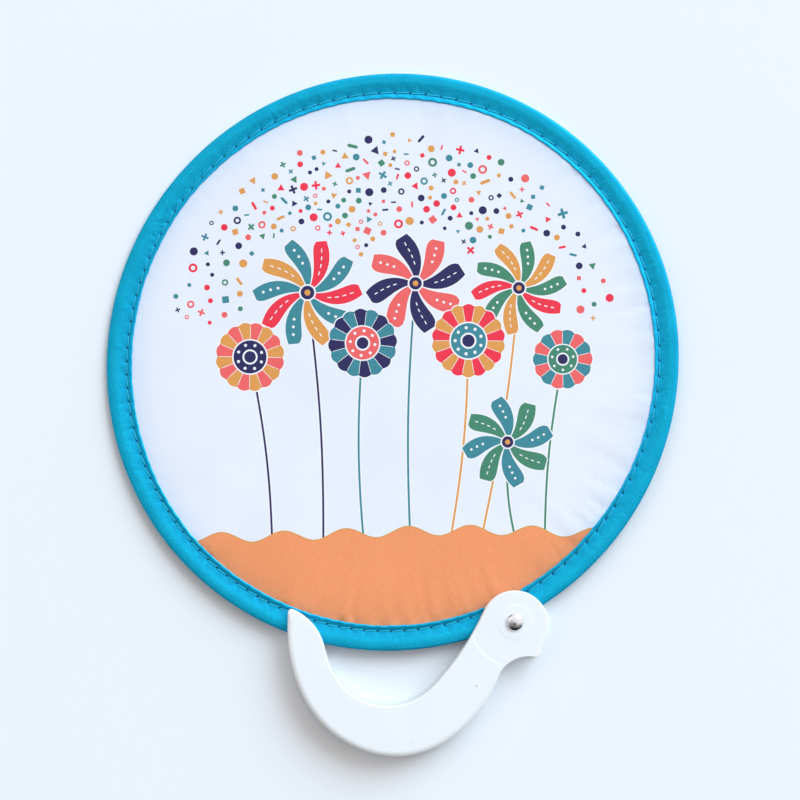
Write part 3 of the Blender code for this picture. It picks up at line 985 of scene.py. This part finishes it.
def tape_lift(outset, along, stitch, close):
    """How much the tape's face stands above its section here, in mm, and how far its hem stands out."""
    mid = abs(sin(pi * stitch))
    shoulders = bell(outset + 8.2, 0.5) + bell(outset + 6.1, 0.6)
    wave = 0.16 * wander(along / 9, 3.1) + 0.1 * wander(along / 3.2, 8.2)
    lift = 0.12 * wander(along / 14, 1.7, 4.0) * clamped((-1.2 - outset) / 2)
    lift += 0.16 * bell(outset + 7.0, 0.4) * (mid - 0.6) + 0.14 * shoulders * (mid - 0.6)
    for place, middle, length, width, slant, tall in close:
        ahead, aside = along - place, outset - middle
        far = (ahead + slant * aside) / width
        deep = aside / length
        lift += tall * math.exp(-far * far - deep * deep)
    return lift, clamped((-7.4 - outset) / 1.2) * (wave - 0.14 * (1 - mid))


def tape_mesh():
    outside, inside = tape_section()
    holes = stitch_ends()
    turns = [-1.0, -0.75, -0.5, -0.25]
    for k in range(len(holes) - 1):
        turns += [k + i / STEPS_PER_STITCH for i in range(STEPS_PER_STITCH)]
    turns += [len(holes) - 1 + share for share in (0, 0.25, 0.5, 0.75, 1)]
    creases = crease_table()
    points, places = [], []
    breadth = len(outside) + len(inside)
    fine = 0.04 * MM / HOOP_RADIUS
    for number, turn in enumerate(turns):
        whole = max(0, min(len(holes) - 2, math.floor(turn)))
        angle = holes[whole] + (holes[whole + 1] - holes[whole]) * (turn - whole)
        along = (angle - HUB_DIRECTION) * HOOP_RADIUS / MM
        close = [row for row in creases if abs(row[0] - along) < 5]
        hem, seam = strays(angle)
        for i, (outset, height) in enumerate(outside + inside):
            side = math.copysign(1, height) if height else 0
            lift, wave = tape_lift(outset, along, turn, close if side > 0 else [])
            if i >= len(outside) or abs(height) <= 0.2:
                lift = 0.0
            else:
                lift = max(lift, THINNEST - abs(height))
            reach = strayed(outset, hem, seam) + wave
            start = hub_side(reach) + fine * number
            stop = hub_side(reach) + fine * (len(turns) - 1 - number)
            first = HUB_DIRECTION + start
            last = HUB_DIRECTION + tau - stop
            if turn < 0:
                here = first + (max(holes[0], first) - first) * (1 + turn)
            elif turn > len(holes) - 1:
                here = last + (min(holes[-1], last) - last) * (len(holes) - turn)
            else:
                here = min(max(angle, first), last)
            points.append(on_hoop(here, reach * MM, (height + side * lift) * MM))
            flat = math.copysign(1, height) * outset * MM if i < len(outside) else 0.0
            places.append((turn * STITCH_PITCH, flat))
    faces = tube_faces(0, breadth, len(turns))
    return smoothed(outward(faced(points, faces), places), 60)


def outward(mesh, places):
    """The mesh with its faces pointing out and these places as its UV map."""
    shape = bmesh.new()
    shape.from_mesh(mesh)
    bmesh.ops.recalc_face_normals(shape, faces=shape.faces)
    shape.to_mesh(mesh)
    shape.free()
    mesh.shade_smooth()
    layer = mesh.uv_layers.new(name="along")
    for loop in mesh.loops:
        layer.data[loop.index].uv = places[loop.vertex_index]
    return mesh


def stitch_mesh(side):
    """One row of stitches on the front or the rear: short arched threads from hole to hole."""
    holes = stitch_ends()
    dice = random.Random(side + 2)
    points, faces, places = [], [], []
    sides, steps = 8, 12
    for first, last in zip(holes, holes[1:]):
        slant = dice.uniform(0.14, 0.28)
        sway = dice.uniform(-0.06, 0.06)
        base = len(points)
        for i in range(steps + 1):
            share = 0.03 + 0.94 * i / steps
            angle = first + (last - first) * share
            outset = STITCH_LINE / MM + strays(angle)[1] + slant * (1 - 2 * share) + sway
            arch = min(1.0, 4.5 * min(share, 1 - share))
            height = 0.02 + 0.46 * sin(arch * pi / 2) + 0.04 * sin(pi * share)
            radius = 0.27 * (0.7 + 0.3 * arch)
            for j in range(sides):
                turn = tau * j / sides
                across = (outset + radius * cos(turn)) * MM
                points.append(on_hoop(angle, across, side * (height + radius * sin(turn)) * MM))
                places.append((share * STITCH_PITCH, j / sides * 1.7 * MM))
        faces += tube_faces(base, sides, steps + 1)
    return outward(faced(points, faces), places)


# Handle


def inward(heading):
    return Vector((-sin(heading), cos(heading)))


def add_arcs(path, arcs):
    """Goes on along tangent arcs, each a radius and a turn in degrees, positive to the left."""
    for radius, turn in arcs:
        point, heading, _ = path[-1]
        bend = math.copysign(radius, turn)
        count = max(4, math.ceil(abs(turn) / ARC_STEP))
        centre = point + bend * inward(heading)
        for i in range(1, count + 1):
            at = heading + radians(turn) * i / count
            path.append((centre - bend * inward(at), at, max(bend, 0.0)))


def disc_point(angle):
    """A point on the handle's round end, whose middle is a little below the rivet."""
    return Vector((DISC_RADIUS * cos(angle), DISC_RADIUS * sin(angle) - DISC_DROP))


def handle_outline():
    """The handle's outline, inside on the left, and where its outer edge starts and ends."""
    path = [(disc_point(DISC_LEFT), DISC_LEFT + pi / 2, 0.0)]
    add_arcs(path, NECK + INNER_EDGE + TIP)
    outer_edge = [path.pop()]
    point, heading, _ = outer_edge[0]
    way = Vector((cos(heading), sin(heading)))
    for share in (1 / 3, 2 / 3, 1):
        outer_edge.append((point + share * TIP_STRAIGHT * way, heading, 0.0))
    add_arcs(outer_edge, OUTER_EDGE)
    start = len(path)
    path += outer_edge
    end = len(path) - 1
    add_arcs(path, NOTCH + BEAK)
    steps = math.ceil(math.degrees(DISC_LEFT - DISC_RIGHT) / ARC_STEP)
    for i in range(steps):
        angle = DISC_RIGHT + (DISC_LEFT - DISC_RIGHT) * i / steps
        path.append((disc_point(angle), angle + pi / 2, DISC_RADIUS))
    return path, start, end


def fillet_widths(path, start, end):
    """How far the edge fillet reaches in: most along the outer edge, less round a tight corner."""
    count = len(path)
    limits = []
    for i, (_, _, bend) in enumerate(path):
        width = OUTER_FILLET if start < i <= end else INNER_FILLET
        limits.append(min(width, 0.8 * bend) if bend else width)
    widths = []
    for i in range(count):
        near = []
        for k in range(-16, 17):
            j = (i + k) % count
            near.append(limits[j] + 0.35 * (path[j][0] - path[i][0]).length)
        widths.append(min(near))
    return widths


def lip_widths(path, start, end):
    """How far the rear cheek stands out past the front one, along the outer edge only."""
    widths = [0.0] * len(path)
    for i in range(start, end + 1):
        share = (i - start) / (end - start)
        widths[i] = PARTING_LIP * min(1.0, 4 * share, 4 * (1 - share))
    return widths


def shell_block(side):
    """One half of the handle before it is hollowed, from the parting line to its filleted face."""
    path, start, end = handle_outline()
    fillets = fillet_widths(path, start, end)
    lips = lip_widths(path, start, end) if side < 0 else [0.0] * len(path)

    def ring(height, share):
        rows = zip(path, fillets, lips)
        return [
            (point + inward(heading) * (share * fillet - out)).to_3d() + Vector((0, 0, side * height))
            for (point, heading, _), fillet, out in rows
        ]

    rings = [ring(FIT / 2, 0.12), ring(1.2 * FIT, 0.0)]
    for i in range(FILLET_STEPS + 1):
        turn = pi / 2 * i / FILLET_STEPS
        rings.append(ring(FACE - FILLET_HEIGHT * (1 - sin(turn)), 1 - cos(turn)))
    return loft(rings)


def pocket_outline():
    """The slot between the cheeks: the spine's inner side, closed far outside the open edges."""
    path, start, end = handle_outline()
    beyond = 2 * RECESS_RADIUS
    after = end
    while (path[after][0] - path[end][0]).length < 20 * MM and after < len(path) - 1:
        after += 1
        if path[after][2]:
            break
    line = [point + inward(heading) * SPINE for point, heading, _ in path[start:after]]
    right = line[-1].x + beyond
    left = line[0].x - beyond
    top = line[0].y + beyond
    corners = ((right, line[-1].y), (right, top), (left, top), (left, line[0].y))
    return line + [Vector(corner) for corner in corners]


def rim_outline(swing):
    """The rim with its clearance, as the handle sees it after swinging this far."""
    points = []
    for i in range(360):
        from_pivot = (on_hoop(tau * i / 360, TAPE_OUTSET + RIM_CLEARANCE) - PIVOT).to_2d()
        points.append(Matrix.Rotation(-swing, 2) @ from_pivot)
    return points


def recess_ring():
    """The shallow round recess about the ring boss, with softened edges."""
    floor = FACE - RECESS_DEPTH
    rise = (RECESS_DEPTH + 0.02 * MM) / 2
    profile = []
    for radius, soft, way in ((BOSS_RADIUS, 0.9 * MM, 1), (RECESS_RADIUS, RECESS_SOFTNESS, -1)):
        for i in range(9):
            share = i / 8
            height = floor + rise * (1 + way * cos(pi * share))
            profile.append((radius + soft * (2 * share - 1), height))
    profile.append((RECESS_RADIUS + RECESS_SOFTNESS, FACE + CHEEK))
    profile.append((BOSS_RADIUS - 0.9 * MM, FACE + CHEEK))
    return turned(profile, closed=True, steps=2 * ROUND_STEPS)


def handle_shell(side):
    """A cheek with its half of the spine. The side is 1 at the front and -1 at the rear."""

    def span(first, last):
        return sorted((side * first, side * last))

    inside = SLOT / 2
    steps = [("DIFFERENCE", prism(pocket_outline(), -inside, inside))]
    for swing in (0.0, SWING):
        steps.append(("DIFFERENCE", prism(rim_outline(swing), -inside, inside)))
    seated = inside + CHEEK / 4
    steps.append(("UNION", cylinder(BOSS_RADIUS, *span(inside - BOSS_INSIDE, seated))))
    path, start, end = handle_outline()
    for share in PEG_PLACES:
        point, heading, _ = path[start + round(share * (end - start))]
        centre = point + inward(heading) * PEG_INSET
        steps.append(("UNION", cylinder(PEG_BOSS_DIAMETER / 2, *span(FIT / 2, seated), 32, centre)))
    steps.append(("DIFFERENCE", cylinder(BORE_RADIUS, -HANDLE_THICKNESS, HANDLE_THICKNESS)))
    if side > 0:
        steps.append(("DIFFERENCE", recess_ring()))
    else:
        seat = cylinder(WASHER_DIAMETER / 2 + FIT, -FACE - CHEEK, -FACE + TAIL_RECESS)
        steps.append(("DIFFERENCE", seat))
    return smoothed(combined(shell_block(side), steps), 38)


def rivet_mesh():
    """The domed head, shank and flared tail."""
    tail_low = -FACE + FIT
    head_low = FACE + FIT
    shank, tail, head = RIVET_DIAMETER / 2, TAIL_DIAMETER / 2, HEAD_DIAMETER / 2
    profile = [(tail - 0.15 * MM, tail_low), (tail, tail_low + 0.12 * MM)]
    profile += [(tail, tail_low + TAIL_HEIGHT), (shank, tail_low + TAIL_HEIGHT), (shank, head_low)]
    profile += [(head - 0.12 * MM, head_low), (head, head_low + 0.12 * MM)]
    for i in range(1, 19):
        turn = radians(6 + 82 * i / 18)
        profile.append((head * cos(turn), head_low + HEAD_HEIGHT * sin(turn)))
    return smoothed(mesh_of(turned(profile)), 50)


# Scene


def add_fan(plane):
    cloth = piece("printed_cloth", cloth_mesh(), plane, "fan", cloth_look())
    tape = piece("stitched_binding", tape_mesh(), plane, "fan", tape_look())
    thread = thread_look()
    front = piece("front_stitches", stitch_mesh(1), plane, "fan", thread)
    rear = piece("rear_stitches", stitch_mesh(-1), plane, "fan", thread)
    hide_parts("fan_cloth")
    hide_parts("edge_binding")
    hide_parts("needle_thread")
    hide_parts("bobbin_thread")


def add_handle(pivot):
    plastic = plastic_look("handle_plastic", srgb(243, 251, 255), 0.36, MARKS)
    for name, side, node in (
        ("handle_front", 1, "handle_front_shell"),
        ("handle_rear", -1, "handle_rear_shell"),
    ):
        shell = piece(name, handle_shell(side), pivot, "handle", plastic)
        step = shell.modifiers.new("normals", "WEIGHTED_NORMAL")
        step.keep_sharp = True
        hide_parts(node)
    steel = steel_look("rivet_steel", srgb(236, 245, 254), 0.07, 0.25 * MM)
    rivet = piece("rivet", rivet_mesh(), pivot, "handle", steel)
    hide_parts("pivot_rivet")
    return steel


def dress_nodes(frame, steel):
    """Materials for the CAD nodes that stay as they are."""
    hub = plastic_look("hub_plastic", srgb(226, 232, 238), 0.42)
    wire = steel_look("spring_steel", srgb(176, 178, 182), 0.32, 0.4 * MM)
    for node, look in (
        ("hub_front_half", hub),
        ("hub_rear_half", hub),
        ("hoop_wire", wire),
        ("rivet_washer", steel),
    ):
        dress(frame["nodes"][node].data, look)


def add_camera():
    camera = bpy.data.cameras.new("camera")
    camera.sensor_width = SENSOR
    camera.lens = SENSOR * (CAMERA_HEIGHT - RIM_HEIGHT) / PICTURE_WIDTH
    camera.clip_start = 0.01
    holder = new_object("camera", camera)
    holder.location = (*CAMERA_POINT, CAMERA_HEIGHT)
    bpy.context.scene.camera = holder


def add_key_light():
    lamp = bpy.data.lights.new("key", "AREA")
    lamp.shape = "DISK"
    lamp.size = KEY_SIZE
    lamp.energy = KEY_POWER
    lamp.color = KEY_COLOUR
    level = cos(KEY_ELEVATION)
    across, along = polar((0, 0), level, KEY_AZIMUTH)
    way = Vector((across, along, sin(KEY_ELEVATION)))
    holder = new_object("key", lamp)
    holder.location = way * KEY_DISTANCE
    holder.rotation_euler = way.to_track_quat("Z", "Y").to_euler()


# Darker places in the room: direction, cosines of the edge and of the dark middle, and the light left there
DARK_PLACES = (
    ((0.05, -0.22, 0.97), 0.978, 0.999, 0.3),
    ((0.0, -0.93, 0.36), 0.86, 0.95, 0.1),
    ((-0.6, 0.75, 0.27), 0.9, 0.97, 0.15),
    ((0.45, -0.74, 0.5), 0.72, 0.95, 0.35),
    ((-0.33, -0.37, 0.87), 0.8, 0.97, 0.6),
)


def add_world():
    """Soft room light from a window's side and a pale wall on the left, with a pale horizon."""
    world = bpy.data.worlds.new("room")
    bpy.context.scene.world = world
    world.use_nodes = True
    nodes = Nodes(world.node_tree)
    way = nodes.add("ShaderNodeTexCoord", {}, output="Generated")

    def towards(place, edge, middle, outside, inside):
        """A level that changes from outside to inside as a direction nears this place."""
        facing = nodes.vector("DOT_PRODUCT", way, Vector(place).normalized(), "Value")
        return nodes.ranged(facing, edge, middle, outside, inside)

    window = towards(WINDOW, -0.3, 0.75, 0.09, 0.98)
    glow = nodes.sum("ADD", window, towards(WALL, 0.6, 0.97, 0.0, 0.48))
    for place, edge, middle, share in DARK_PLACES:
        glow = nodes.times(glow, towards(place, edge, middle, 1.0, share))
    height = nodes.add("ShaderNodeSeparateXYZ", {0: way}, output="Z")
    low = nodes.ranged(height, 0.03, 0.1, 1.0, 0.0)
    level = nodes.add("ShaderNodeMix", {0: low, 2: glow, 3: 0.8}, data_type="FLOAT")
    back = world.node_tree.nodes["Background"]
    nodes.join(back.inputs["Strength"], level)
    nodes.join(back.inputs["Color"], ROOM_COLOUR)


def add_floor():
    signs = ((-1, -1), (1, -1), (1, 1), (-1, 1))
    mesh = faced([(x * HALF_FLOOR, y * HALF_FLOOR, 0) for x, y in signs], [(0, 1, 2, 3)])
    floor = new_object("floor", mesh)
    dress(mesh, floor_look())


def main():
    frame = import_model()
    joint = frame["joints"][0]
    axis = Vector(joint["axis"])
    lean = Matrix.Rotation(math.atan2(-axis.y, axis.z), 4, "X")
    pivot = Matrix.Translation(joint["pos_m"]) @ lean
    plane = pivot @ Matrix.Translation(-PIVOT)

    add_camera()
    add_world()
    add_key_light()
    add_floor()
    add_fan(plane)
    steel = add_handle(pivot)
    dress_nodes(frame, steel)
    bpy.context.scene.view_settings.view_transform = "Standard"


main()
